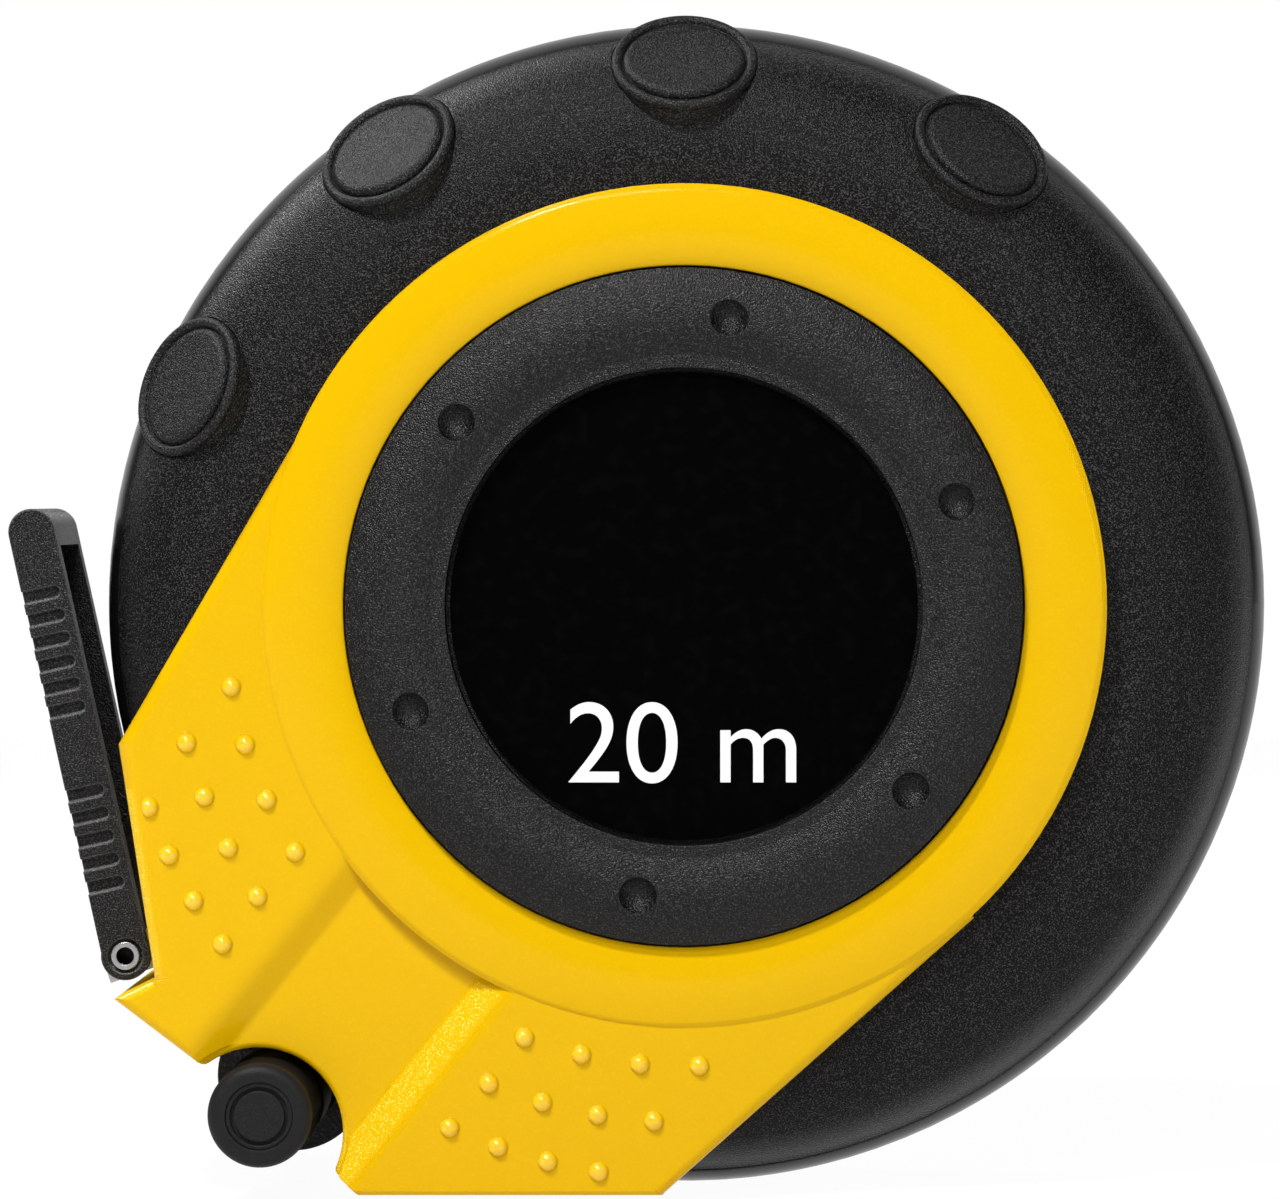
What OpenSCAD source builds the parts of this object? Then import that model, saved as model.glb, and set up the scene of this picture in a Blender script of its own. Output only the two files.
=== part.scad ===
// Closed-case long tape reel: round two-part case, clamped bracket with a parking
// notch, drum with 20 m of woven tape, folding end lever and folding crank.
// Millimetres. The reel stands on the bracket foot, the front face looks along -Y.

/* [Case] */
// Largest diameter of the case, at the parting plane
rim_d = 130; // [125:1:136]
// Height of the flat case face above the parting plane
face_h = 13.5; // [12.8:0.1:14]
// Radius of the round shoulder between face and rim
shoulder = 14.5; // [14:0.5:18]
// Wall thickness of the case halves
wall = 2.3; // [1.8:0.1:2.6]
// Distance of the case screws inside the rim
screw_ring = 8.5; // [8:0.5:9]
// Directions of the case screws
screw_dirs = [338, 28, 74, 107, 172, 292];

/* [Grip studs] */
// Diameter of the stud over its bead
stud_d = 16.2; // [14:0.1:16.6]
// Thickness of the round bead
bead_t = 1.24; // [0.8:0.02:1.4]
// Height of the stud face above the middle of the bead
stud_rise = 0.75; // [0.5:0.05:1]
// Lean of the studs away from the front
stud_lean = 46.6; // [44:0.2:49]
// Place of the studs on the shoulder, from the flat face to the rim
stud_place = 42.5; // [41:0.5:45]
// Directions of the studs
stud_dirs = [56.9, 90.1, 123.2, 156.3];

/* [Bracket] */
// Outer diameter of the bracket ring
ring_d = 92.3; // [90:0.1:96]
// Height of the ring crown above the parting plane
ring_h = 17.3; // [17.1:0.1:17.6]
// Height of the wings above the parting plane
wing_h = 16.6; // [16.2:0.1:16.8]
// Direction of the channel
channel_dir = 231; // [229:0.5:233]
// Half width of the channel floor
channel_floor = 8.2; // [7.5:0.1:9]
// Half width of the channel at the wing surface
channel_top = 11.4; // [10.5:0.1:12]
// Height of the channel floor above the parting plane
channel_h = 14.9; // [14.4:0.1:15.4]
// Radius of the parking notch
notch_r = 9.35; // [8.9:0.05:9.8]
// Distance of the notch centre beyond the parked knob
notch_u = 2.4; // [2.1:0.1:3.1]
// Diameter of the grip dots
dot_d = 2.2; // [1.6:0.1:2.6]
// Height of the grip dots
dot_h = 0.85; // [0.4:0.05:0.9]
// Clear distance from the foot plane down to the rim
foot_drop = 0.2; // [0.1:0.05:0.4]

/* [Drum] */
// Width of the tape
tape_w = 13; // [12:0.5:13.5]
// Thickness of the tape
tape_t = 0.34; // [0.3:0.02:0.5]
// Length of the tape on the reel
tape_len = 20000; // [15000:1000:20500]
// Diameter of the drum barrel
barrel_d = 26; // [24:0.5:28]
// Diameter of the drum journals
journal_d = 24; // [22:0.5:24]
// Diameter of the hub cover
hub_d = 73.8; // [72:0.2:74.4]
// Height of the hub crown above the parting plane
hub_h = 19.2; // [18.8:0.1:19.8]
// Diameter of the label seat in the hub
label_d = 52; // [48:0.5:54]

/* [Tape end] */
// Distance of the rivet inside the left side of the rim
rivet_x = 3; // [2:0.1:3.5]
// Rivet position below the drum axis
rivet_y = 38.9; // [38:0.1:39.5]
// Diameter of the tubular rivet
rivet_d = 2.8; // [2.6:0.1:3.2]
// Distance from the rivet to the centre of the lever tip
lever_len = 48.1; // [46:0.1:50]
// Width of the lever side
lever_w = 5.1; // [4.8:0.1:5.3]
// Direction of the folded lever
lever_dir = 102.5; // [101:0.5:104]

/* [Crank] */
// Direction of the parked crank
crank_dir = 230.2; // [229.8:0.1:230.8]
// Distance of the knob's axis outside the rim
knob_u = 6.9; // [6.6:0.1:7.4]
// Knob diameter
knob_d = 11.4; // [10.6:0.2:12]
// Height of the knob face in front of the parting plane
knob_h = 20; // [19:0.5:22]
// Thickness of the crank arm
arm_t = 5; // [4.6:0.1:5.6]
// Distance of the folding pin from the drum axis
fold_u = 13; // [12:0.5:15]
// Diameter of the folding pin
fold_pin_d = 3; // [2.6:0.1:3.2]

/* [Hidden] */
$fn = 96;
// Clearances: parts of one body, running fits, bodies that pass each other
seat = 0.05;
run = 0.06;
pass = 0.4;
hub_gap = 0.3;

rim_r = rim_d / 2;
screw_r = rim_r - screw_ring;
shoulder_z = face_h - shoulder;
shoulder_r = rim_r - sqrt(shoulder * shoulder - shoulder_z * shoulder_z);
foot_y = -rim_r - foot_drop;
// The foot lies under the left half of the reel
foot_x0 = -34.6;
foot_x1 = -3.2;
axis_x = -(foot_x0 + foot_x1) / 2;
axis_z = -foot_y;

// Studs: the middle of the bead lies a little inside the shoulder, in a flat bed
bead_in = 0.56;
stud_bed = -0.6;
bead_r = stud_d / 2 - bead_t / 2;

// A point in a direction from the drum axis, a distance outside a radius
function polar(r, dir, out) = (r + out) * [cos(dir), sin(dir)];

// Outline of the two wings, from the ring round the left wing to the foot and back
ring_r = ring_d / 2;
wing_points = [
    polar(ring_r, 143.55, 0), polar(rim_r, 193.8, -1.26), polar(rim_r, 215.24, 5.9),
    polar(rim_r, 214.61, 10.7), polar(rim_r, 223.94, 7.8), polar(rim_r, 238.25, 7.75),
    [foot_x0, foot_y], [foot_x1, foot_y], polar(rim_r, 268.3, -1.07), polar(ring_r, 312.9, 0.4)
];
// Rounding of the top edge after each outline point
wing_rounds = [1.3, 1.8, 0.9, 1.3, 0, 0, 0, 0.7, 1.2, 0];
// How far each rounding runs past the ends of its edge: not past the inner corner
round_past = [
    [0.8, 0.8], [0.8, 0], [0, 0.8], [0.8, 0.8], [0, 0], [0.8, 0.8], [0, 0], [0.8, 0.8], [0.8, 0.8]
];

// Round upper and lower edges of the channel slopes
channel_blend = 4;
floor_blend = 1.4;

// Screw posts in the bracket lobes and the seat of their heads
lobe_post = 3.3;
lobe_seat = wing_h - 3.4;
lobe_screw_v = 15.6;
lobe_wall = 2.2;
// End of the cuts that run out through the top of the bracket
above = max(ring_h, wing_h) + 1;

// Rows of grip dots between the ring and the rim
row_in = ring_r + 4.05;
row_out = rim_r - 2.6;
row_pitch = (row_out - row_in) / 2;

opening_r = hub_d / 2 + hub_gap;
inner_h = face_h - wall;

// Drum: the tape fills the roll between barrel and outer radius
half_tape = tape_w / 2;
cheek_in = half_tape + 0.5;
cheek_t = 1.6;
cheek_out = cheek_in + cheek_t;
roll_in = barrel_d / 2 + 0.1;
roll_r = sqrt(roll_in * roll_in + tape_len * tape_t / PI);
cheek_r = roll_r + 3.2;
journal_r = journal_d / 2;
journal_h = face_h + pass;
bush_out = journal_r + 2.4;
axle_r = 4;
hub_plate_h = journal_h + 2.4;

// Tape path: a straight run from the rivet, just clear of the full roll
rivet_r = rivet_d / 2;
rivet_rim = rivet_r + 0.14;
rivet_sink = 0.65;
tape_off = rivet_r + 0.35;
rivet_left = rim_r - rivet_x;
rivet_dist = sqrt(rivet_left * rivet_left + rivet_y * rivet_y);
tape_arm = roll_r + pass + tape_t / 2 + tape_off;
tape_drop = asin(tape_arm / rivet_dist) - atan2(rivet_y, rivet_left);
tape_run = sqrt(rivet_dist * rivet_dist - tape_arm * tape_arm);
throat_0 = 5.9;
throat_1 = 13.6;

// Lever legs pass the tape end on both sides
leg_in = half_tape + 0.4;
leg_out = leg_in + 1.9;

// Crank: the arm lies over the rear ring, the knob reaches forward through the notch
arm_in = ring_h + pass;
arm_out = arm_in + arm_t;
fold_h = arm_in + arm_t / 2;
knob_r = knob_d / 2;
knob_at = rim_r + knob_u;
notch_at = knob_at + notch_u;
plate_r = opening_r - 0.6;
plate_out = ring_h - 0.7;
arm_half = 7.4;
spindle_r = 2.5;

// Local frames: x right, y up, z towards the viewer, origin on the drum axis
module face() {
    translate([axis_x, 0, axis_z])
        rotate([90, 0, 0])
            children();
}

// x outwards along the channel, y across it
module channel_frame() {
    rotate([0, 0, channel_dir])
        children();
}

// x outwards along the parked crank, y across it
module crank_frame() {
    rotate([0, 0, crank_dir])
        children();
}

// x from the rivet into the case along the tape, y square to the tape
module tape_frame() {
    translate([-rivet_left, -rivet_y, 0])
        rotate([0, 0, -tape_drop])
            children();
}

// x from the rivet to the lever tip, y away from the case
module lever_frame() {
    translate([-rivet_left, -rivet_y, 0])
        rotate([0, 0, lever_dir])
            children();
}

// A block given by its two opposite corners
module block(a, b) {
    translate(a)
        cube(b - a);
}

module rod(r, z0, z1) {
    translate([0, 0, z0])
        cylinder(r = r, h = z1 - z0);
}

module ring_of(r_in, r_out, z0, z1) {
    difference() {
        rod(r_out, z0, z1);
        rod(r_in, z0 - 1, z1 + 1);
    }
}

// Half section of the case, grown outwards by g
module case_section(g) {
    intersection() {
        union() {
            square([shoulder_r, face_h + g]);
            translate([shoulder_r, shoulder_z])
                circle(shoulder + g);
        }
        square([rim_r + 10, face_h + 10]);
    }
}

module case_solid(g) {
    rotate_extrude()
        case_section(g);
}

module at_screws() {
    for (a = screw_dirs)
        rotate([0, 0, a])
            translate([screw_r, 0, 0])
                children();
}

// Stud axis: z out of the shoulder, origin in the middle of the bead
module at_studs() {
    for (a = stud_dirs)
        rotate([0, 0, a])
            translate([shoulder_r, 0, shoulder_z])
                rotate([0, stud_place, 0])
                    translate([0, 0, shoulder - bead_in])
                        rotate([0, stud_lean - stud_place, 0])
                            children();
}

module shell_blank() {
    difference() {
        rotate_extrude()
            difference() {
                case_section(0);
                case_section(-wall);
            }
        // Parting gap
        rod(rim_r + 1, -1, seat);
        // Bearing seat
        rod(bush_out + seat, 0, face_h + 1);
        // Tape window
        tape_frame()
            block([0, tape_off - 3.3, -1], [30, tape_off + 3.3, 9.3]);
        // Stud beds and stem holes
        at_studs() {
            rod(stud_d / 2 + seat, stud_bed - seat, 6);
            rod(2.5 + seat, -6, 3);
        }
    }
    // Screw posts
    intersection() {
        at_screws()
            rod(3.9, seat, face_h);
        case_solid(-0.5);
    }
}

module front_shell() {
    color("#26262a")
        face()
            difference() {
                shell_blank();
                at_screws()
                    rod(1.25, -1, 8);
            }
}

module rear_shell() {
    color("#26262a")
        face()
            mirror([0, 0, 1])
                difference() {
                    shell_blank();
                    at_screws() {
                        rod(1.7, -1, face_h);
                        rod(3.2, 7.5, face_h + 1);
                    }
                }
}

// Round bead with the plug below it
module stud_base() {
    rotate_extrude() {
        translate([bead_r, 0])
            circle(bead_t / 2, $fn = 32);
        translate([0, -4])
            square([bead_r + bead_t / 2 - 0.15, 4]);
    }
}

// Raised face with a round edge, a few degrees steeper than the bead
module stud_face() {
    edge = 0.8;
    face_r = bead_r - bead_t / 2 - edge - 0.04;
    rotate([0, 4, 0])
        rotate_extrude() {
            square([face_r, stud_rise]);
            translate([face_r, stud_rise - edge])
                circle(edge, $fn = 32);
        }
}

module stud_set() {
    difference() {
        at_studs() {
            stud_base();
            stud_face();
        }
        // The shoulder with its flat beds
        difference() {
            case_solid(seat / 2);
            at_studs()
                rod(stud_d / 2 + 1, stud_bed, 6);
        }
    }
    at_studs()
        rod(2.5, -3.2, 0);
}

module front_studs() {
    color("#2c2c2f")
        face()
            stud_set();
}

module rear_studs() {
    color("#2c2c2f")
        face()
            mirror([0, 0, 1])
                stud_set();
}

module wing_plan() {
    circle(ring_d / 2);
    polygon(wing_points);
}

// Cutter that rounds the top edge from p to q, the wing lies to the left
module edge_round(p, q, r, past) {
    along = q - p;
    translate([p.x, p.y, wing_h])
        rotate([0, 0, atan2(along.y, along.x)])
            difference() {
                block([-past[0], -1, -r], [norm(along) + past[1], r, 1]);
                translate([-2, r, -r])
                    rotate([0, 90, 0])
                        rod(r, 0, norm(along) + 4);
            }
}

// Foot drawn in towards the wing face, with a small round edge
module foot_draft() {
    draft = 0.9;
    translate([foot_x0 - 4, 0, 0])
        rotate([90, 0, 90])
            linear_extrude(foot_x1 - foot_x0 + 8)
                polygon([
                    [foot_y - 1, 10], [foot_y, 10], [foot_y + draft, wing_h - 0.4],
                    [foot_y + draft + 0.5, wing_h + 0.1], [foot_y + draft + 0.5, wing_h + 2], [foot_y - 1, wing_h + 2]
                ]);
}

// Hollow of the two wing lobes, one wall inside the plan
module lobe_plan() {
    difference() {
        union() {
            polygon([
                polar(rim_r, 194, -3.47), polar(rim_r, 219.15, 6.76), polar(rim_r, 223.62, 5.6),
                polar(rim_r, 223.73, -1.34), polar(rim_r, 196.6, -12.8)
            ]);
            polygon([
                polar(rim_r, 238.9, 5.66), [foot_x0 + lobe_wall, foot_y + lobe_wall],
                [foot_x1 - 2.8, foot_y + lobe_wall], [foot_x1 - 2.8, foot_y + 7.2], polar(rim_r, 240, -5)
            ]);
        }
        channel_frame()
            translate([notch_at, 0])
                circle(notch_r + lobe_wall);
    }
}

// Screw places in the two lobes, beside the channel
module at_lobe_screws() {
    channel_frame() {
        translate([rim_r + 3, -lobe_screw_v, 0])
            children();
        translate([rim_r + 1, lobe_screw_v, 0])
            children();
    }
}

module grip_dots() {
    ball_r = (dot_d * dot_d / 4 + dot_h * dot_h) / (2 * dot_h);
    for (side = [-1, 1], row = [0:2], i = [0:3])
        rotate([0, 0, channel_dir + side * (18.7 - 1.95 * row + i * (7.4 - 1.1 * row))])
            translate([row_in + row_pitch * row, 0, wing_h + dot_h - ball_r])
                sphere(ball_r);
}

// Crowned ring with a round outer edge that runs smoothly into the crown
module ring_section() {
    crown = 21;
    edge = 0.9;
    middle = (opening_r + ring_r) / 2;
    crown_y = ring_h - crown;
    reach = ring_r - edge - middle;
    edge_x = ring_r - edge;
    edge_y = crown_y + sqrt(pow(crown - edge, 2) - reach * reach);
    difference() {
        intersection() {
            translate([opening_r, face_h - 1])
                square([ring_r - opening_r, ring_h - face_h + 1]);
            translate([middle, crown_y])
                circle(crown, $fn = 360);
        }
        polygon([
            [edge_x, edge_y], [middle + 2 * reach, 2 * edge_y - crown_y],
            [ring_r + 5, 2 * edge_y - crown_y], [ring_r + 5, edge_y]
        ]);
    }
    translate([edge_x, edge_y])
        circle(edge);
}

// Half section of the channel: floor, slope and the blends between them
module channel_section() {
    rise = wing_h - channel_h;
    slope = atan2(rise, channel_top - channel_floor);
    length = channel_blend * tan(slope / 2);
    foot = floor_blend * tan(slope / 2);
    low = [channel_floor, channel_h];
    top = [channel_top, wing_h];
    dir = [cos(slope), sin(slope)];
    difference() {
        polygon([[0, channel_h], low, top, [channel_top, wing_h + 5], [0, wing_h + 5]]);
        polygon([low - [foot, 0], low + [foot, -1], low + foot * dir]);
    }
    intersection() {
        translate(low + [-foot, floor_blend])
            circle(floor_blend);
        square([channel_top, wing_h + 4]);
    }
    difference() {
        polygon([top - length * dir, top + [length, 0], top + [length, 1], top + [-length, 1]]);
        translate(top + [length, -channel_blend])
            circle(channel_blend);
    }
}

// Corner that rounds a tip between the notch and the wing edge
module notch_tip() {
    tip_r = 0.8;
    tip_u = rim_r + 7.25 - tip_r;
    tip_v = sqrt(max(0, pow(notch_r + tip_r, 2) - pow(notch_at - tip_u, 2)));
    inward = [notch_at - tip_u, -tip_v] / (notch_r + tip_r);
    translate([tip_u, tip_v])
        difference() {
            polygon([[0, 0], 1.25 * tip_r * inward, tip_r * [1.9, -1.4], tip_r * [1.45, -0.36]]);
            circle(tip_r);
        }
}

module bracket_blank() {
    difference() {
        union() {
            translate([0, 0, seat])
                linear_extrude(wing_h - seat)
                    wing_plan();
            rotate_extrude()
                ring_section();
            grip_dots();
        }
        case_solid(seat);
        rod(opening_r, 0, above);
        // Channel between the wings and round wing edges, all outside the ring
        difference() {
            union() {
                channel_frame()
                    for (side = [0, 1])
                        mirror([0, side, 0])
                            rotate([90, 0, 90])
                                linear_extrude(90)
                                    channel_section();
                for (i = [0:8])
                    if (wing_rounds[i] > 0)
                        edge_round(wing_points[i], wing_points[i + 1], wing_rounds[i], round_past[i]);
                foot_draft();
            }
            rod(ring_r, 0, above);
        }
        // Parking notch with a round upper edge
        channel_frame()
            translate([notch_at, 0, 0]) {
                rod(notch_r, -1, above);
                translate([0, 0, channel_h])
                    rotate_extrude()
                        difference() {
                            translate([notch_r - 1, -0.7])
                                square([1.7, 2]);
                            translate([notch_r + 0.7, -0.7])
                                circle(0.7);
                        }
            }
        channel_frame()
            for (side = [0, 1])
                mirror([0, side, 0])
                    translate([0, 0, -1])
                        linear_extrude(above + 1)
                            notch_tip();
        // Hollow lobes with screw posts
        difference() {
            translate([0, 0, -1])
                linear_extrude(channel_h - 1.5)
                    lobe_plan();
            at_lobe_screws()
                rod(lobe_post, -2, face_h);
        }
        // Tape slot and room for the throat guide
        tape_frame() {
            block([-3, -1.4, -1], [8, 4.4, half_tape + 0.9]);
            translate([0, tape_off, 0])
                block([throat_0 - seat, -3 - seat, -1], [throat_1 + 1, 3 + seat, 9 + seat]);
        }
    }
}

module front_bracket() {
    color("#f7c40c")
        face()
            difference() {
                bracket_blank();
                at_lobe_screws()
                    rod(1.25, -1, 11);
            }
}

module rear_bracket() {
    color("#f7c40c")
        face()
            mirror([0, 0, 1])
                difference() {
                    bracket_blank();
                    // Seat of the crank plate flange
                    rod(opening_r + 2.4, 0, face_h + 1.8);
                    at_lobe_screws() {
                        rod(1.7, -1, above);
                        rod(2.6, lobe_seat, above);
                    }
                }
}

module screw(shank_r, tip, neck, head_r, head_t) {
    difference() {
        union() {
            rod(shank_r, tip, neck);
            rod(head_r, neck, neck + head_t);
        }
        // Cross recess
        for (a = [0, 90])
            rotate([0, 0, a])
                block([-0.4, -head_r * 0.65, neck + head_t - 0.9], [0.4, head_r * 0.65, neck + head_t + 1]);
    }
}

module shell_screws() {
    color("#8b8d90")
        face()
            mirror([0, 0, 1])
                at_screws()
                    screw(1.2, -7, 7.5 + seat, 2.8, 1.9);
}

module bracket_screws() {
    color("#8b8d90")
        face()
            mirror([0, 0, 1])
                at_lobe_screws()
                    screw(1.2, -10, lobe_seat + seat, 2.5, 1.9);
}

module bearing_bushes() {
    color("#d9d6cc")
        face()
            for (side = [0, 1])
                mirror([0, 0, side]) {
                    ring_of(journal_r + run, bush_out, cheek_out + pass, face_h - 0.1);
                    ring_of(journal_r + run, bush_out + 2.6, cheek_out + pass, inner_h - seat);
                }
}

module throat_guide() {
    color("#3a3a3d")
        face()
            tape_frame()
                difference() {
                    translate([0, tape_off, 0])
                        block([throat_0, -3, -9], [throat_1, 3, 9]);
                    translate([0, tape_off, 0])
                        block([throat_0 - 1, -0.7, -half_tape - 0.4], [throat_1 + 1, 0.7, half_tape + 0.4]);
                    rotate([0, 0, tape_drop])
                        translate([rivet_left, rivet_y, 0])
                            lobe_post_cut();
                }
}

// Room for the screw post beside the throat
module lobe_post_cut() {
    at_lobe_screws()
        rod(lobe_post + seat, -20, 20);
}

module drum_core() {
    color("#4a4b4e")
        face()
            difference() {
                union() {
                    rod(barrel_d / 2, -cheek_in, cheek_out);
                    rod(cheek_r, -cheek_out, -cheek_in);
                    rod(journal_r, -face_h, journal_h);
                }
                rod(axle_r + 0.02, -face_h - 1, cheek_in);
                // Hole and slit that hold the inner end of the tape
                translate([barrel_d / 2 - 2.6, 0, 0]) {
                    rod(1.05, -cheek_in, cheek_in);
                    block([0, -0.25, -cheek_in], [4, 0.25, cheek_in]);
                }
                for (a = [30, 150, 270])
                    rotate([0, 0, a])
                        translate([8, 0, 0])
                            rod(1.25, 7, journal_h + 1);
            }
}

module drum_cheek() {
    color("#4a4b4e")
        face()
            ring_of(barrel_d / 2 + seat, cheek_r, cheek_in, cheek_out);
}

module tape_roll() {
    color("#e8cf3a")
        face()
            ring_of(roll_in, roll_r, -half_tape, half_tape);
}

module tape_anchor_pin() {
    color("#9a9ca0")
        face()
            translate([barrel_d / 2 - 2.6, 0, 0])
                rod(1, -half_tape, half_tape);
}

module drum_axle() {
    color("#a4a6aa")
        face()
            rod(axle_r, -plate_out + 0.1, cheek_in - 0.2);
}

// Crowned hub ring with a recessed label seat
module hub_section() {
    crown = 12;
    crown_r = (hub_d / 2 + label_d / 2) / 2;
    difference() {
        intersection() {
            translate([0, journal_h])
                square([hub_d / 2, hub_h]);
            union() {
                translate([crown_r, hub_h - crown])
                    circle(crown);
                square([crown_r - 4, hub_h - 0.7]);
            }
        }
        translate([0, hub_plate_h])
            square([label_d / 2, 10]);
        // Hollow under the crown
        translate([label_d / 2 + 2, journal_h - 1])
            square([hub_d / 2 - label_d / 2 - 4.2, 3]);
        // Running gap over the case face
        translate([journal_r + 3, journal_h - 1])
            square([label_d / 2 - journal_r - 3, 1.4]);
    }
}

module hub_cover() {
    color("#3b3b3e")
        face()
            difference() {
                rotate_extrude()
                    hub_section();
                // Finger dimples
                for (i = [0:5])
                    rotate([0, 0, channel_dir - 30 + 60 * i])
                        translate([31.8, 0, hub_h + 0.95])
                            sphere(2.3);
                for (a = [30, 150, 270])
                    rotate([0, 0, a])
                        translate([8, 0, 0]) {
                            rod(1.5, 0, hub_h);
                            rod(2.7, hub_plate_h - 1.4, hub_h);
                        }
            }
}

module hub_screws() {
    color("#8b8d90")
        face()
            for (a = [30, 150, 270])
                rotate([0, 0, a])
                    translate([8, 0, 0])
                        screw(1.2, 7.6, hub_plate_h - 1.4 + seat, 2.5, 1.3);
}

module label_disc() {
    color("#151517")
        face()
            rod(label_d / 2 - 0.5, hub_plate_h + seat, hub_plate_h + 0.65);
}

module tape_lead() {
    color("#e8cf3a")
        face()
            tape_frame()
                translate([0, tape_off, 0])
                    block([0.2, -tape_t / 2, -half_tape], [tape_run, tape_t / 2, half_tape]);
}

// Bent strip: an eye round the rivet, a tail under it and a tab under the tape
module end_clip() {
    tab = tape_off - tape_t / 2 - 0.02;
    color("#c6c8ca")
        face()
            tape_frame()
                difference() {
                    union() {
                        rod(rivet_r + 0.35, -half_tape, half_tape);
                        block([0, rivet_r - 0.4, -half_tape], [3.1, tab, half_tape]);
                        rotate([0, 0, tape_drop + 20])
                            block([-2.9, -rivet_r - 1, -half_tape], [2.8, -rivet_r + 0.2, half_tape]);
                    }
                    rod(rivet_r + 0.02, -10, 10);
                    block([-3, tab, -10], [4, 6, 10]);
                }
}

module end_rivet() {
    color("#d4d6d8")
        face()
            translate([-rivet_left, -rivet_y, 0])
                difference() {
                    union() {
                        rod(rivet_r, -leg_out, leg_out);
                        // Rolled rim in the recess of the lever
                        for (side = [0, 1])
                            mirror([0, 0, side])
                                rod(rivet_rim, leg_out - rivet_sink + 0.3, leg_out + 0.1);
                    }
                    for (side = [0, 1])
                        mirror([0, 0, side])
                            rod(rivet_r - 0.42, leg_out - 3, leg_out + 1);
                }
}

// Side view of the lever, rounded at both ends
module lever_plan() {
    circle(lever_w / 2 + 0.15);
    translate([lever_len, 0])
        circle(lever_w / 2);
    translate([0, -lever_w / 2])
        square([lever_len, lever_w]);
}

module end_lever() {
    web = 1.5;
    color("#1f1f22")
        face()
            lever_frame()
                difference() {
                    translate([0, 0, -leg_out])
                        linear_extrude(2 * leg_out)
                            lever_plan();
                    // Hollow side towards the case, open round the rivet
                    block([-5, -lever_w, -leg_in], [lever_len - 2.1, lever_w / 2 - web, leg_in]);
                    block([-5, -lever_w, -leg_in], [5.5, lever_w, leg_in]);
                    rod(rivet_r + run, -20, 20);
                    // Rivet recess and grip grooves on both faces
                    for (side = [0, 1])
                        mirror([0, 0, side]) {
                            rod(rivet_rim + 0.4, leg_out - rivet_sink, leg_out + 1);
                            for (i = [0:4])
                                lever_groove(8.2 + 2.6 * i);
                            for (i = [0:5])
                                lever_groove(lever_len - 7 - 2.6 * i);
                        }
                }
}

module lever_groove(s) {
    translate([s, 0, leg_out - 0.75]) {
        block([-0.7, -lever_w / 2 + 1.6, 0], [0.7, lever_w, 1]);
        translate([0, -lever_w / 2 + 1.6, 0])
            rod(0.7, 0, 1);
    }
}

// Round plate held under the rear ring, with two lugs for the folding pin
module crank_plate() {
    color("#303033")
        face()
            mirror([0, 0, 1])
                difference() {
                    union() {
                        rod(plate_r, face_h + pass, plate_out);
                        rod(opening_r + 1.9, face_h + pass, face_h + 1.4);
                        // Boss over the end of the axle
                        rod(9, face_h + pass, plate_out + 0.6);
                        crank_frame()
                            for (side = [-1, 1])
                                translate([fold_u, side * (arm_half + pass + 1.6), 0])
                                    plate_lug();
                    }
                    rod(axle_r + run, 0, plate_out);
                    rod(7, 0, plate_out - 1);
                    // Dished face between boss and rim
                    difference() {
                        ring_of(14, plate_r - 4, plate_out - 0.6, plate_out + 1);
                        crank_frame()
                            block([0, -arm_half - 6, 0], [plate_r, arm_half + 6, 30]);
                    }
                    crank_frame()
                        translate([fold_u, 0, fold_h])
                            rotate([90, 0, 0])
                                rod(fold_pin_d / 2 + 0.02, -20, 20);
                }
}

module plate_lug() {
    half = 1.6;
    block([-3.2, -half, plate_out - 1], [3.2, half, fold_h]);
    translate([0, 0, fold_h])
        rotate([90, 0, 0])
            rod(3.2, -half, half);
}

module fold_pin() {
    reach = arm_half + pass + 3.1;
    color("#a4a6aa")
        face()
            mirror([0, 0, 1])
                crank_frame()
                    translate([fold_u, 0, fold_h])
                        rotate([90, 0, 0])
                            rod(fold_pin_d / 2, -reach, reach);
}

// Wrap spring between axle and crank plate: drives one way, slips the other
module freewheel_spring() {
    wire = 0.7;
    coil_r = axle_r + run + wire / 2;
    base = face_h + pass + 0.45;
    color("#8b8d90")
        face()
            mirror([0, 0, 1]) {
                for (i = [0:1])
                    translate([0, 0, base + i * 0.66])
                        rotate_extrude()
                            translate([coil_r, 0])
                                circle(wire / 2, $fn = 32);
                translate([coil_r, 0, base])
                    rotate([0, 90, 0])
                        rod(wire / 2 - 0.05, 0, 7 - coil_r - seat);
            }
}

module arm_plan() {
    polygon([
        [fold_u, -arm_half], [24, -arm_half], [56, -6.6], [knob_at, -8.2],
        [knob_at, 8.2], [56, 6.6], [24, arm_half], [fold_u, arm_half]
    ]);
    translate([knob_at, 0])
        circle(8.8);
}

module crank_arm() {
    color("#242427")
        face()
            mirror([0, 0, 1])
                crank_frame()
                    difference() {
                        union() {
                            translate([0, 0, arm_in])
                                linear_extrude(arm_t)
                                    arm_plan();
                            translate([fold_u, 0, fold_h])
                                rotate([90, 0, 0])
                                    rod(arm_t / 2, -arm_half, arm_half);
                        }
                        translate([fold_u, 0, fold_h])
                            rotate([90, 0, 0])
                                rod(fold_pin_d / 2 + run, -20, 20);
                        translate([knob_at, 0, 0]) {
                            rod(spindle_r + 0.02, 0, 50);
                            rod(4.4, arm_out - 1.6, 50);
                        }
                        // Lightening pockets in the outer face
                        block([20, -4.8, arm_out - 2], [38, 4.8, arm_out + 1]);
                        block([40, -4.4, arm_out - 2], [knob_at - 12, 4.4, arm_out + 1]);
                    }
}

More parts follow.
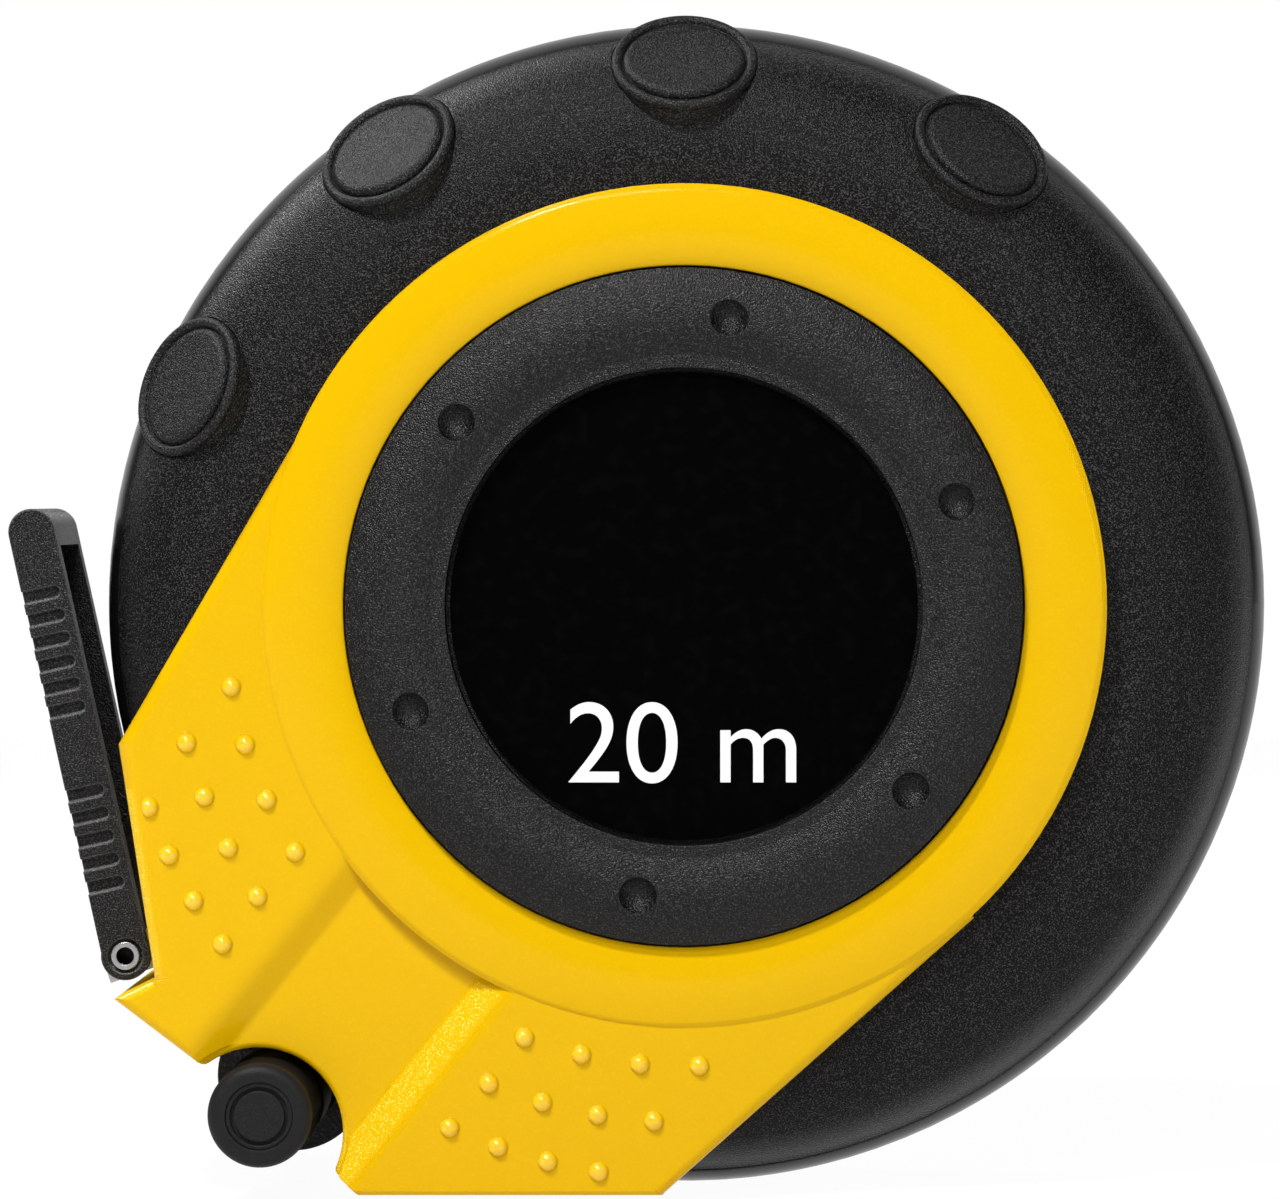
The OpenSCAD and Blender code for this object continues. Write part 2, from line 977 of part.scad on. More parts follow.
module knob_spindle() {
    color("#a4a6aa")
        face()
            mirror([0, 0, 1])
                crank_frame()
                    translate([knob_at, 0, 0]) {
                        rod(spindle_r, -knob_h + 3.2, arm_out - 1.6);
                        rod(4.2, arm_out - 1.6, arm_out - 0.4);
                    }
}

module spindle_clip() {
    color("#8b8d90")
        face()
            crank_frame()
                translate([knob_at, 0, 0])
                    ring_of(spindle_r + 0.02, 3.3, knob_h - 4.4, knob_h - 3.6);
}

module knob_section() {
    round_r = 1.2;
    waist = 0.35;
    tail = -arm_in + pass;
    difference() {
        union() {
            translate([0, tail])
                square([knob_r, knob_h - round_r - tail]);
            translate([0, tail])
                square([knob_r - round_r, knob_h - tail]);
            translate([knob_r - round_r, knob_h - round_r])
                circle(round_r);
        }
        // Waist for the fingers
        translate([knob_r - waist + 60, 2])
            circle(60);
        // Bore, clip room and cap seat
        translate([0, tail - 1])
            square([spindle_r + run, 60]);
        translate([0, knob_h - 4.8])
            square([3.7, 6]);
    }
}

module crank_knob() {
    color("#232326")
        face()
            crank_frame()
                translate([knob_at, 0, 0])
                    rotate_extrude()
                        knob_section();
}

module knob_cap() {
    color("#232326")
        face()
            crank_frame()
                translate([knob_at, 0, 0])
                    difference() {
                        rod(3.65, knob_h - 2.4, knob_h - 0.2);
                        ring_of(2.75, 3.2, knob_h - 0.7, knob_h + 1);
                    }
}

front_shell();
rear_shell();
front_bracket();
rear_bracket();
front_studs();
rear_studs();
shell_screws();
bracket_screws();
bearing_bushes();
throat_guide();
drum_core();
drum_cheek();
tape_roll();
tape_anchor_pin();
drum_axle();
hub_cover();
hub_screws();
label_disc();
tape_lead();
end_clip();
end_rivet();
end_lever();
crank_plate();
fold_pin();
freewheel_spring();
crank_arm();
knob_spindle();
spindle_clip();
crank_knob();
knob_cap();
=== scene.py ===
import math
import bpy
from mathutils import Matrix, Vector


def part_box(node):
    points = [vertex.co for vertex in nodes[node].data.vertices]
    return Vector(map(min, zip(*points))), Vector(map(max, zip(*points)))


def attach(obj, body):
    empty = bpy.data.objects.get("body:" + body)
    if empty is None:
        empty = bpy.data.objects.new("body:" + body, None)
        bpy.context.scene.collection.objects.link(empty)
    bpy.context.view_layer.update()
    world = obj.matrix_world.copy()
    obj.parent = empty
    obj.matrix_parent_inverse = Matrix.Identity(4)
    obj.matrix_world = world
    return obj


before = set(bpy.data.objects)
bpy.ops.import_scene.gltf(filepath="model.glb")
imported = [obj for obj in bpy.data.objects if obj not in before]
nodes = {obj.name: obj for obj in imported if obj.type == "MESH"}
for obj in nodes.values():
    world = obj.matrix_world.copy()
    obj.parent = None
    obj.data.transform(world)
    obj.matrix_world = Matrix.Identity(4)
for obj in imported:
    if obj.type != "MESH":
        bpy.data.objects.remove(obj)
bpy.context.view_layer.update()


# Studio: a bright key lamp at the upper left, an edge lamp behind it, and a long lens
# that looks straight at the front from a little right of the drum axis and above it.
# The rear lamp is only for the back, so the front doesn't mirror it.
hub_low, hub_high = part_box("hub_cover")
AXIS_X = (hub_low.x + hub_high.x) / 2
AXIS_Z = (hub_low.z + hub_high.z) / 2
PHOTO_W = 1280
FOCUS_PX = 4798
LENS_POINT_PX = (132.0, 101.5)
LENS_OFFSET = (0.0096, 0.0118)
LENS_DISTANCE = 0.540
REAR_LAMP = (AXIS_X, 0.75, AXIS_Z + 0.12)
scene = bpy.context.scene
scene.view_settings.view_transform = "Standard"
camera_data = bpy.data.cameras.new("photo_camera")
camera_data.sensor_width = 36.0
camera_data.lens = FOCUS_PX / PHOTO_W * camera_data.sensor_width
camera_data.shift_x = -LENS_POINT_PX[0] / PHOTO_W
camera_data.shift_y = -LENS_POINT_PX[1] / PHOTO_W
camera_data.clip_start = 0.01
camera = bpy.data.objects.new("photo_camera", camera_data)
camera.location = (AXIS_X + LENS_OFFSET[0], -LENS_DISTANCE, AXIS_Z + LENS_OFFSET[1])
camera.rotation_euler = (math.radians(90), 0, 0)
scene.collection.objects.link(camera)
scene.camera = camera


def soft_lamp(name, place, size, power, mirrored=True):
    lamp_data = bpy.data.lights.new(name, "AREA")
    lamp_data.shape = "DISK"
    lamp_data.size = size
    lamp_data.energy = power
    lamp = bpy.data.objects.new(name, lamp_data)
    lamp.visible_camera = False
    lamp.visible_glossy = mirrored
    lamp.location = place
    towards = Vector((AXIS_X, 0, AXIS_Z)) - Vector(place)
    lamp.rotation_euler = towards.to_track_quat("-Z", "Y").to_euler()
    scene.collection.objects.link(lamp)


soft_lamp("key_lamp", (-0.36, -0.66, 1.04), size=0.18, power=14.6)
soft_lamp("front_lamp", (-0.02, -0.98, 0.74), size=0.26, power=5.0)
soft_lamp("edge_lamp", (-0.58, 0.36, 0.78), size=0.12, power=4.0)
soft_lamp("fill_lamp", (0.70, -0.80, 0.22), size=0.36, power=0.9)
soft_lamp("rear_lamp", REAR_LAMP, size=0.25, power=4.0, mirrored=False)


# Floor and backdrop: paper that is white where the camera, gloss or glass sees it, in a
# plain grey room. The floor keeps a faint shadow of the reel, and only the rim of the
# case turns far enough to mirror the backdrop.
SKY_LEVEL = 0.13
PAPER_WHITE = (0.92, 0.92, 0.92)
FLOOR_HALF = 4.0
FLOOR_GLOW = 0.96
WALL_Y = 1.0
WALL_LEFT = -0.85
WALL_RIGHT = 1.0
WALL_TOP = 1.3
WALL_GLOW = 1.0
world = bpy.data.worlds.new("grey_room")
scene.world = world
world.use_nodes = True
sky = world.node_tree.nodes["Background"]
sky.inputs["Color"].default_value = (1, 1, 1, 1)
sky.inputs["Strength"].default_value = SKY_LEVEL


# A socket takes a plain value or a link.
def feed(tree, socket, value):
    if isinstance(value, bpy.types.NodeSocket):
        tree.links.new(value, socket)
    elif socket.type == "RGBA":
        socket.default_value = (*value, 1)
    else:
        socket.default_value = value


def math_node(tree, operation, first, second=0.0):
    made = tree.nodes.new("ShaderNodeMath")
    made.operation = operation
    feed(tree, made.inputs[0], first)
    feed(tree, made.inputs[1], second)
    return made.outputs[0]


def product(tree, first, second):
    return math_node(tree, "MULTIPLY", first, second)


def seen_directly(tree):
    ray = tree.nodes.new("ShaderNodeLightPath")
    seen = math_node(tree, "MAXIMUM", ray.outputs["Is Camera Ray"], ray.outputs["Is Glossy Ray"])
    return math_node(tree, "MAXIMUM", seen, ray.outputs["Is Transmission Ray"])


def new_paint(name):
    paint = bpy.data.materials.new(name)
    paint.use_nodes = True
    return paint, paint.node_tree, paint.node_tree.nodes["Principled BSDF"]


def white_paper(name, glow_share):
    paint, tree, skin = new_paint(name)
    tree.nodes.remove(skin)
    paper = tree.nodes.new("ShaderNodeBsdfDiffuse")
    feed(tree, paper.inputs["Color"], PAPER_WHITE)
    glow = tree.nodes.new("ShaderNodeEmission")
    glow.inputs["Strength"].default_value = 1.0
    mixed = tree.nodes.new("ShaderNodeMixShader")
    tree.links.new(product(tree, seen_directly(tree), glow_share), mixed.inputs["Fac"])
    tree.links.new(paper.outputs["BSDF"], mixed.inputs[1])
    tree.links.new(glow.outputs["Emission"], mixed.inputs[2])
    tree.links.new(mixed.outputs["Shader"], tree.nodes["Material Output"].inputs["Surface"])
    return paint


def paper_sheet(name, corners, glow_share):
    mesh = bpy.data.meshes.new(name)
    mesh.from_pydata(corners, [], [(0, 1, 2, 3)])
    mesh.materials.append(white_paper(name + "_paper", glow_share))
    sheet = bpy.data.objects.new(name, mesh)
    scene.collection.objects.link(sheet)


floor_corners = [(-FLOOR_HALF, -FLOOR_HALF, 0), (FLOOR_HALF, -FLOOR_HALF, 0)]
floor_corners += [(FLOOR_HALF, FLOOR_HALF, 0), (-FLOOR_HALF, FLOOR_HALF, 0)]
wall_corners = [(WALL_LEFT, WALL_Y, 0), (WALL_RIGHT, WALL_Y, 0)]
wall_corners += [(WALL_RIGHT, WALL_Y, WALL_TOP), (WALL_LEFT, WALL_Y, WALL_TOP)]
paper_sheet("floor", floor_corners, FLOOR_GLOW)
paper_sheet("backdrop", wall_corners, WALL_GLOW)


# Case halves: black moulded plastic with a fine spark-eroded mould grain, screwed
# together from the rear. The grain stops at a polished band along the parting line.
BAND_HALF = 0.0062
BAND_FADE = 0.0003
BAND_SHINE = 0.4
BAND_DULL = 0.7
SHINE_RISE = (0.28, 0.46)
SHINE_LOW = 0.55
SHINE_HIGH = 1.9
SHINE_FALL = (0.50, 0.60)
GRAZING = (0.55, 0.92)
GRAZING_SHINE = 0.0002


def map_range(tree, value, start, end, low=0.0, high=1.0):
    made = tree.nodes.new("ShaderNodeMapRange")
    feed(tree, made.inputs["Value"], value)
    feed(tree, made.inputs["From Min"], start)
    feed(tree, made.inputs["From Max"], end)
    feed(tree, made.inputs["To Min"], low)
    feed(tree, made.inputs["To Max"], high)
    return made.outputs["Result"]


def spread(tree, value, low, high):
    return map_range(tree, value, 0.0, 1.0, low, high)


def new_group(name, inputs, outputs):
    group = bpy.data.node_groups.new(name, "ShaderNodeTree")
    for socket, value in inputs:
        made = group.interface.new_socket(name=socket, in_out="INPUT", socket_type="NodeSocketFloat")
        made.default_value = value
    for socket, kind in outputs:
        group.interface.new_socket(name=socket, in_out="OUTPUT", socket_type=kind)
    return group, group.nodes.new("NodeGroupInput"), group.nodes.new("NodeGroupOutput")


def dot_node(tree, first, second):
    made = tree.nodes.new("ShaderNodeVectorMath")
    made.operation = "DOT_PRODUCT"
    feed(tree, made.inputs[0], first)
    feed(tree, made.inputs[1], second)
    return made.outputs["Value"]


# Mould grain: pits of one size as height, the tops of the grain as specks, and
# wide clouds for the uneven shine of a moulding.
def mould_grain():
    group, given, result = new_group(
        "mould_grain",
        [("Grain size", 0.0003)],
        [("Height", "NodeSocketFloat"), ("Specks", "NodeSocketFloat"), ("Clouds", "NodeSocketFloat")],
    )
    link = group.links.new
    place = group.nodes.new("ShaderNodeTexCoord")
    pits = group.nodes.new("ShaderNodeTexNoise")
    pits.inputs["Detail"].default_value = 0.5
    pits.inputs["Roughness"].default_value = 0.6
    link(place.outputs["Object"], pits.inputs["Vector"])
    link(math_node(group, "DIVIDE", 1.0, given.outputs["Grain size"]), pits.inputs["Scale"])
    link(pits.outputs["Fac"], result.inputs["Height"])
    link(map_range(group, pits.outputs["Fac"], 0.52, 0.72), result.inputs["Specks"])
    clouds = group.nodes.new("ShaderNodeTexNoise")
    clouds.inputs["Scale"].default_value = 45
    clouds.inputs["Detail"].default_value = 3
    link(place.outputs["Object"], clouds.inputs["Vector"])
    link(clouds.outputs["Fac"], result.inputs["Clouds"])
    return group


# Soft edge: the normal of a small edge radius, and a mask of where that edge is.
def soft_edge():
    group, given, result = new_group(
        "soft_edge",
        [("Radius", 0.0003)],
        [("Normal", "NodeSocketVector"), ("Edge", "NodeSocketFloat")],
    )
    rounded = group.nodes.new("ShaderNodeBevel")
    rounded.samples = 4
    group.links.new(given.outputs["Radius"], rounded.inputs["Radius"])
    flat = group.nodes.new("ShaderNodeNewGeometry")
    agree = dot_node(group, rounded.outputs["Normal"], flat.outputs["Normal"])
    group.links.new(rounded.outputs["Normal"], result.inputs["Normal"])
    group.links.new(map_range(group, agree, 0.98, 0.75), result.inputs["Edge"])
    return group


GRAIN = mould_grain()
EDGE = soft_edge()


def place_group(tree, group, **values):
    made = tree.nodes.new("ShaderNodeGroup")
    made.node_tree = group
    for socket, value in values.items():
        made.inputs[socket.replace("_", " ")].default_value = value
    return made


def mix_colours(tree, factor, first, second):
    made = tree.nodes.new("ShaderNodeMix")
    made.data_type = "RGBA"
    feed(tree, made.inputs["Factor"], factor)
    feed(tree, made.inputs["A"], first)
    feed(tree, made.inputs["B"], second)
    return made.outputs["Result"]


def place_parts(tree):
    place = tree.nodes.new("ShaderNodeTexCoord")
    parts = tree.nodes.new("ShaderNodeSeparateXYZ")
    tree.links.new(place.outputs["Object"], parts.inputs[0])
    return parts.outputs


def outside_band(tree, half_width):
    depth = math_node(tree, "ABSOLUTE", place_parts(tree)["Y"])
    return map_range(tree, depth, half_width - BAND_FADE, half_width + BAND_FADE)


# A value that changes where the surface turns away from the viewer, used for shine alone.
def by_tilt(tree, start, end, low, high):
    turned = tree.nodes.new("ShaderNodeLayerWeight")
    return map_range(tree, turned.outputs["Facing"], start, end, low, high)


# Moulded plastic: the grain shows in colour and bump, the clouds in its dullness. With a
# band the shine peaks where the surface turns away a little, and without one it only fades.
def moulded_plastic(name, low, high, grain, depth, rough, gloss, radius=0.0, wear_and_highlight=0.0, band=0.0):
    paint, tree, skin = new_paint(name)
    texture = place_group(tree, GRAIN, Grain_size=grain)
    specks = texture.outputs["Specks"]
    dull = spread(tree, texture.outputs["Clouds"], 0.85 * rough, 1.15 * rough)
    bump = tree.nodes.new("ShaderNodeBump")
    bump.inputs["Distance"].default_value = depth
    tree.links.new(texture.outputs["Height"], bump.inputs["Height"])
    if band:
        grained = outside_band(tree, band)
        tree.links.new(grained, bump.inputs["Strength"])
        specks = product(tree, specks, grained)
        dull = product(tree, dull, spread(tree, grained, BAND_DULL, 1.0))
        rise = by_tilt(tree, *SHINE_RISE, low=SHINE_LOW * gloss, high=SHINE_HIGH * gloss)
        fall = by_tilt(tree, *SHINE_FALL, low=1.0, high=0.0)
        shine = spread(tree, grained, BAND_SHINE * gloss, product(tree, rise, fall))
    else:
        shine = by_tilt(tree, *GRAZING, low=gloss, high=GRAZING_SHINE * gloss)
    colour = mix_colours(tree, specks, low, high)
    if radius:
        edge = place_group(tree, EDGE, Radius=radius)
        tree.links.new(edge.outputs["Normal"], bump.inputs["Normal"])
        # Edges are painted lighter: partly wear, partly a painted edge highlight.
        worn_and_highlit = product(tree, edge.outputs["Edge"], wear_and_highlight)
        colour = mix_colours(tree, worn_and_highlit, colour, tuple(min(1.0, 2.5 * c) for c in high))
    tree.links.new(colour, skin.inputs["Base Color"])
    tree.links.new(dull, skin.inputs["Roughness"])
    tree.links.new(shine, skin.inputs["Specular IOR Level"])
    tree.links.new(bump.outputs["Normal"], skin.inputs["Normal"])
    return paint


def dress(paint, *names):
    for name in names:
        piece = nodes[name]
        piece.data.materials.clear()
        piece.data.materials.append(paint)


case_black = moulded_plastic(
    "case_black", (0.0032, 0.0032, 0.0033), (0.044, 0.044, 0.045),
    grain=0.00016, depth=0.00012, rough=0.32, gloss=0.17, band=BAND_HALF,
)
dress(case_black, "front_shell", "rear_shell")


# Bracket halves: glossy yellow plastic, moulded with a raised ring, two wings with grip
# dots and a channel for the crank, screwed to each other round the case. The tops of the dots
# are painted a lighter yellow as a painted highlight, and the channel's slope that faces up and
# to the left is painted lighter, with painted glints on it.
WING_FACE = 0.0166
DOT_FOOT = 0.0001
DOT_TOP = 0.0005
RING_EDGE = 0.0468
SLOPE_FACING = (-0.777, 0.0, 0.629)
SLOPE_BELOW = 0.02
PAINTED_GLINT_SIZE = 0.0002
# Colours of the painted highlight on the dot tops, the painted light on the up-left slope and the
# painted glints on it.
DOT_PAINTED_HIGHLIGHT = (0.80, 0.50, 0.012)
SLOPE_PAINTED_LIGHT = (0.74, 0.46, 0.004)
PAINTED_GLINT_COLOUR = (0.9, 0.72, 0.12)
FACE_SHINE = 0.1
DOT_SHINE = 0.6
YELLOW_GRAZING = (0.6, 0.95)
bracket_yellow = moulded_plastic(
    "bracket_yellow", (0.60, 0.352, 0.0005), (0.62, 0.364, 0.001),
    grain=0.0003, depth=0.000008, rough=0.15, gloss=0.09, radius=0.0003,
)


# Distance from a line along Y through x and z.
def reach_from(tree, parts, x, z):
    right = math_node(tree, "SUBTRACT", parts["X"], x)
    up = math_node(tree, "SUBTRACT", parts["Z"], z)
    right_2 = math_node(tree, "POWER", right, 2)
    up_2 = math_node(tree, "POWER", up, 2)
    return math_node(tree, "SQRT", math_node(tree, "ADD", right_2, up_2))


# Lays a colour over a paint's own colour where a mask is white.
def lay_over(paint, mask, colour):
    tree = paint.node_tree
    base = tree.nodes["Principled BSDF"].inputs["Base Color"]
    tree.links.new(mix_colours(tree, mask, base.links[0].from_socket, colour), base)


yellow_tree = bracket_yellow.node_tree
yellow_skin = yellow_tree.nodes["Principled BSDF"]
yellow_parts = place_parts(yellow_tree)
yellow_reach = reach_from(yellow_tree, yellow_parts, AXIS_X, AXIS_Z)
outside_ring = math_node(yellow_tree, "GREATER_THAN", yellow_reach, RING_EDGE)
yellow_depth = math_node(yellow_tree, "ABSOLUTE", yellow_parts["Y"])
stands_out = map_range(yellow_tree, yellow_depth, WING_FACE + DOT_FOOT, WING_FACE + DOT_TOP)
on_dot = product(yellow_tree, stands_out, outside_ring)
yellow_flat = yellow_tree.nodes.new("ShaderNodeNewGeometry")
slope_turn = dot_node(yellow_tree, yellow_flat.outputs["Normal"], SLOPE_FACING)
low_down = math_node(yellow_tree, "LESS_THAN", yellow_parts["Z"], AXIS_Z - SLOPE_BELOW)
low_slope = product(yellow_tree, map_range(yellow_tree, slope_turn, 0.2, 0.4), low_down)
on_slope = product(yellow_tree, low_slope, outside_ring)
painted_glint_specks = place_group(yellow_tree, GRAIN, Grain_size=PAINTED_GLINT_SIZE)
# Painted glints: light specks painted on the slope that faces up and to the left.
painted_glints = product(yellow_tree, on_slope, painted_glint_specks.outputs["Specks"])
# Painted highlight on the dot tops, painted light on the up-left slope, then the painted glints.
lay_over(bracket_yellow, product(yellow_tree, on_dot, 0.55), DOT_PAINTED_HIGHLIGHT)
lay_over(bracket_yellow, product(yellow_tree, on_slope, 0.3), SLOPE_PAINTED_LIGHT)
lay_over(bracket_yellow, product(yellow_tree, painted_glints, 0.6), PAINTED_GLINT_COLOUR)
yellow_away = by_tilt(yellow_tree, *YELLOW_GRAZING, low=1.0, high=0.0)
yellow_shine = product(yellow_tree, spread(yellow_tree, on_dot, FACE_SHINE, DOT_SHINE), yellow_away)
yellow_tree.links.new(yellow_shine, yellow_skin.inputs["Specular IOR Level"])
dress(bracket_yellow, "front_bracket", "rear_bracket")


# Grip studs: black rubber buttons with two steps, four on each half of the case. Each is
# plugged into a flat bed on the shoulder, and its edges are painted a little lighter, partly
# as wear and partly as a painted edge highlight.
stud_rubber = moulded_plastic(
    "stud_rubber", (0.003, 0.003, 0.0031), (0.045, 0.045, 0.046),
    grain=0.00017, depth=0.00014, rough=0.42, gloss=0.2, radius=0.0003, wear_and_highlight=0.3,
)
dress(stud_rubber, "front_studs", "rear_studs")


# Screws, axle, pins and springs: turned, cold-headed or bent from steel and zinc plated.
# The screws close the case and the bracket from the rear, and the axle carries the drum.
STEEL_GRAIN = 0.0004
STEEL_RADIUS = 0.0002


def plated_steel(name, colour, rough):
    paint, tree, skin = new_paint(name)
    skin.inputs["Metallic"].default_value = 1.0
    texture = place_group(tree, GRAIN, Grain_size=STEEL_GRAIN)
    darker = tuple(0.8 * c for c in colour)
    clouded = mix_colours(tree, texture.outputs["Clouds"], darker, colour)
    dull = spread(tree, texture.outputs["Height"], rough - 0.08, rough + 0.12)
    edge = place_group(tree, EDGE, Radius=STEEL_RADIUS)
    tree.links.new(clouded, skin.inputs["Base Color"])
    tree.links.new(dull, skin.inputs["Roughness"])
    tree.links.new(edge.outputs["Normal"], skin.inputs["Normal"])
    return paint


screw_steel = plated_steel("screw_steel", (0.52, 0.52, 0.53), rough=0.34)
axle_steel = plated_steel("axle_steel", (0.58, 0.58, 0.59), rough=0.26)
spring_steel = plated_steel("spring_steel", (0.44, 0.44, 0.45), rough=0.32)
dress(screw_steel, "shell_screws", "bracket_screws", "hub_screws")
dress(axle_steel, "drum_axle", "tape_anchor_pin", "fold_pin", "knob_spindle")
dress(spring_steel, "freewheel_spring", "spindle_clip")


# Bearing bushes and the tape mouth: plain moulded plastic. The drum turns in a bush in the
# wall of each case half, and the mouth piece sits in a pocket between the halves.
bush_acetal = moulded_plastic(
    "bush_acetal", (0.66, 0.64, 0.58), (0.72, 0.70, 0.64),
    grain=0.0008, depth=0.000004, rough=0.45, gloss=0.3,
)
throat_plastic = moulded_plastic(
    "throat_plastic", (0.012, 0.012, 0.013), (0.03, 0.03, 0.031),
    grain=0.0005, depth=0.00002, rough=0.5, gloss=0.2, radius=0.0003, wear_and_highlight=0.3,
)
dress(bush_acetal, "bearing_bushes")
dress(throat_plastic, "throat_guide")


# Drum: a dark grey plastic spool, moulded in one with its rear cheek. The front cheek is
# put on after it, and the grained hub cover is screwed on the front end.
drum_plastic = moulded_plastic(
    "drum_plastic", (0.05, 0.05, 0.053), (0.08, 0.08, 0.084),
    grain=0.0004, depth=0.00001, rough=0.5, gloss=0.3,
)
hub_grey = moulded_plastic(
    "hub_grey", (0.0008, 0.0008, 0.0009), (0.028, 0.028, 0.029),
    grain=0.00017, depth=0.00014, rough=0.34, gloss=0.26, radius=0.0003, wear_and_highlight=0.1,
)
dress(drum_plastic, "drum_core", "drum_cheek")
dress(hub_grey, "hub_cover")


# Label: a bare black disc, let into the hub cover and turning with it. It is printed in
# white with the tape's length and nothing else.
label_black = moulded_plastic(
    "label_black", (0.0006, 0.0006, 0.0007), (0.0012, 0.0012, 0.0013),
    grain=0.0015, depth=0.000002, rough=0.5, gloss=0.01,
)
print_white = moulded_plastic(
    "print_white", (0.66, 0.66, 0.66), (0.70, 0.70, 0.70),
    grain=0.0002, depth=0.000002, rough=0.5, gloss=0.2,
)
dress(label_black, "label_disc")
label_low, label_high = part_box("label_disc")
MARK_WIDTH = 0.0248
MARK_MIDDLE_DROP = 0.0154
MARK_STAND = 0.00002
mark_curve = bpy.data.curves.new("length_mark", "FONT")
mark_curve.body = "20 m"
mark_curve.align_x = "CENTER"
mark_curve.align_y = "CENTER"
mark_curve.extrude = MARK_STAND
mark = bpy.data.objects.new("length_mark", mark_curve)
scene.collection.objects.link(mark)
bpy.context.view_layer.update()
mark_curve.size = MARK_WIDTH / mark.dimensions.x
mark.location = (AXIS_X, label_low.y - MARK_STAND, AXIS_Z - MARK_MIDDLE_DROP)
mark.rotation_euler = (math.radians(90), 0, 0)
mark_curve.materials.append(print_white)
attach(mark, "drum")


# Tape: a coated woven tape with printed millimetre ticks along both edges, wound on the
# drum. Its free end runs out through the mouth, rising a little to the left.
TAPE_RISE = math.radians(11.69)
TAPE_LOW = (0.80, 0.60, 0.05)
TAPE_HIGH = (0.86, 0.68, 0.09)
LAYER_PITCH = 0.00034
LAYER_LINE = 0.3
LAYER_SHADE = tuple(0.55 * c for c in TAPE_LOW)
TICK_PITCH = 0.001
TICK_LINE = 0.22
TICK_INNER = 0.0035
TICK_INK = (0.02, 0.02, 0.02)


def woven_tape(name):
    return moulded_plastic(name, TAPE_LOW, TAPE_HIGH, grain=0.0005, depth=0.00002, rough=0.5, gloss=0.25)


def ruled_lines(tree, along, pitch, line):
    step = math_node(tree, "FRACT", math_node(tree, "DIVIDE", along, pitch))
    return math_node(tree, "LESS_THAN", step, line)


tape_wound = woven_tape("tape_wound")
wound_tree = tape_wound.node_tree
wound_reach = reach_from(wound_tree, place_parts(wound_tree), AXIS_X, AXIS_Z)
lay_over(tape_wound, ruled_lines(wound_tree, wound_reach, LAYER_PITCH, LAYER_LINE), LAYER_SHADE)
dress(tape_wound, "tape_roll")

tape_free = woven_tape("tape_free")
free_tree = tape_free.node_tree
free_parts = place_parts(free_tree)
free_right = math_node(free_tree, "SUBTRACT", free_parts["X"], AXIS_X)
free_up = math_node(free_tree, "SUBTRACT", free_parts["Z"], AXIS_Z)
free_across = product(free_tree, free_right, math.cos(TAPE_RISE))
free_rise = product(free_tree, free_up, math.sin(TAPE_RISE))
free_along = math_node(free_tree, "SUBTRACT", free_across, free_rise)
ticks = ruled_lines(free_tree, free_along, TICK_PITCH, TICK_LINE)
free_side = math_node(free_tree, "ABSOLUTE", free_parts["Y"])
near_edge = math_node(free_tree, "GREATER_THAN", free_side, TICK_INNER)
lay_over(tape_free, product(free_tree, ticks, near_edge), TICK_INK)
dress(tape_free, "tape_lead")


# Tape end: a clip folded from plated steel sheet on the end of the tape, and a tubular
# rivet whose bore goes through the clip and the lever. The bore is painted dark as painted shade.
RIVET_BORE = 0.00098
BORE_PAINTED_SHADE = (0.01, 0.01, 0.01)
clip_steel = plated_steel("clip_steel", (0.62, 0.63, 0.64), rough=0.36)
rivet_steel = plated_steel("rivet_steel", (0.50, 0.51, 0.52), rough=0.26)
rivet_low, rivet_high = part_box("end_rivet")
rivet_x = (rivet_low.x + rivet_high.x) / 2
rivet_z = (rivet_low.z + rivet_high.z) / 2
rivet_tree = rivet_steel.node_tree
rivet_reach = reach_from(rivet_tree, place_parts(rivet_tree), rivet_x, rivet_z)
# Painted shade: the steel inside the rivet's bore is painted near black.
lay_over(rivet_steel, math_node(rivet_tree, "LESS_THAN", rivet_reach, RIVET_BORE), BORE_PAINTED_SHADE)
dress(clip_steel, "end_clip")
dress(rivet_steel, "end_rivet")


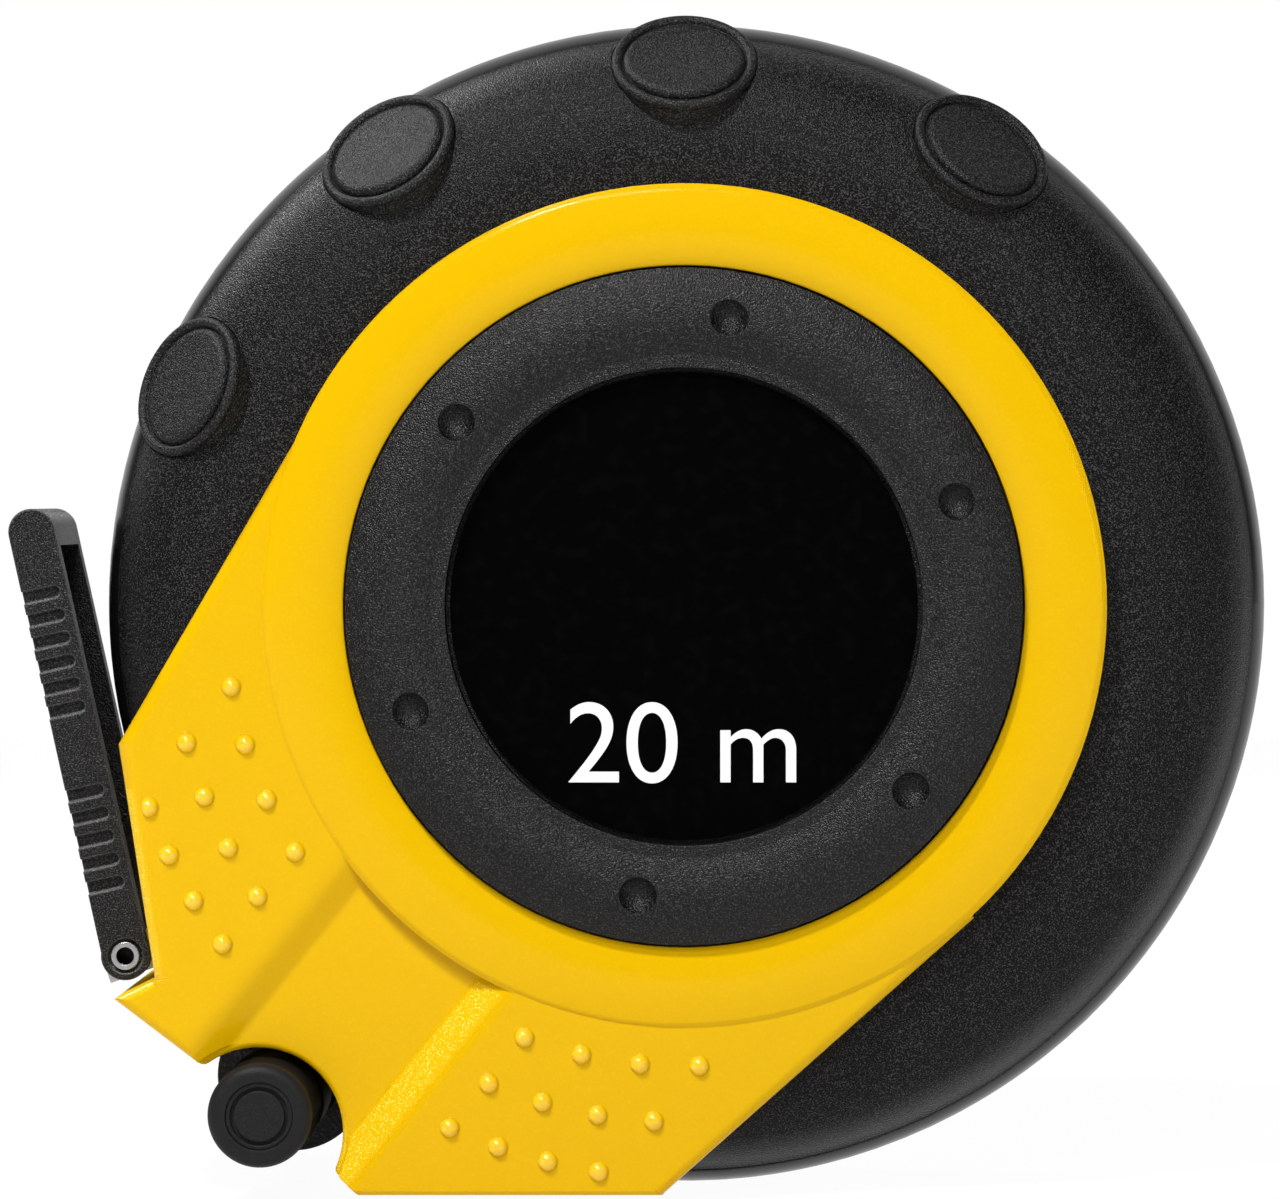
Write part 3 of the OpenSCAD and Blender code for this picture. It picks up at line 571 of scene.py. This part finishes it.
# End lever: a black moulded hook lever with grip grooves, folded up along the case.
# Its edges that face up, on the lower walls of its grooves and on its round end, are painted a
# lighter grey as a painted highlight.
LEVER_GRAIN = 0.00018
LEVER_UP = (-0.2, 0.0, 0.98)
HIGHLIGHT_EDGE_RADIUS = 0.0004
LEVER_PAINTED_HIGHLIGHT = (0.30, 0.30, 0.30)
lever_black = moulded_plastic(
    "lever_black", (0.0015, 0.0015, 0.0016), (0.04, 0.04, 0.041),
    grain=LEVER_GRAIN, depth=0.00014, rough=0.36, gloss=0.25, radius=0.0003, wear_and_highlight=0.9,
)
lever_tree = lever_black.node_tree
lever_edge = place_group(lever_tree, EDGE, Radius=HIGHLIGHT_EDGE_RADIUS)
lever_normal = lever_tree.nodes.new("ShaderNodeVectorTransform")
lever_normal.vector_type = "NORMAL"
lever_normal.convert_from = "WORLD"
lever_normal.convert_to = "OBJECT"
lever_tree.links.new(lever_edge.outputs["Normal"], lever_normal.inputs["Vector"])
lever_turn = dot_node(lever_tree, lever_normal.outputs["Vector"], LEVER_UP)
lever_grain = place_group(lever_tree, GRAIN, Grain_size=LEVER_GRAIN)
lever_specks = spread(lever_tree, lever_grain.outputs["Specks"], 0.35, 1.0)
lever_highlight_mask = product(lever_tree, map_range(lever_tree, lever_turn, 0.12, 0.5), lever_specks)
# Painted highlight: edges that face up are painted a lighter grey, speckled by the grain.
lay_over(lever_black, lever_highlight_mask, LEVER_PAINTED_HIGHLIGHT)
dress(lever_black, "end_lever")


# Crank: black moulded plastic. A round carrier turns in the rear ring, the arm is hinged to
# it by a pin, and the finger knob on the arm's end is parked in the bracket's notch.
crank_black = moulded_plastic(
    "crank_black", (0.006, 0.006, 0.0065), (0.03, 0.03, 0.031),
    grain=0.0004, depth=0.00008, rough=0.45, gloss=0.18, radius=0.0004, wear_and_highlight=0.25,
)
knob_black = moulded_plastic(
    "knob_black", (0.009, 0.009, 0.0092), (0.016, 0.016, 0.0163),
    grain=0.00014, depth=0.00002, rough=0.5, gloss=0.15, radius=0.0003, wear_and_highlight=0.15,
)
dress(crank_black, "crank_plate", "crank_arm")
dress(knob_black, "crank_knob", "knob_cap")
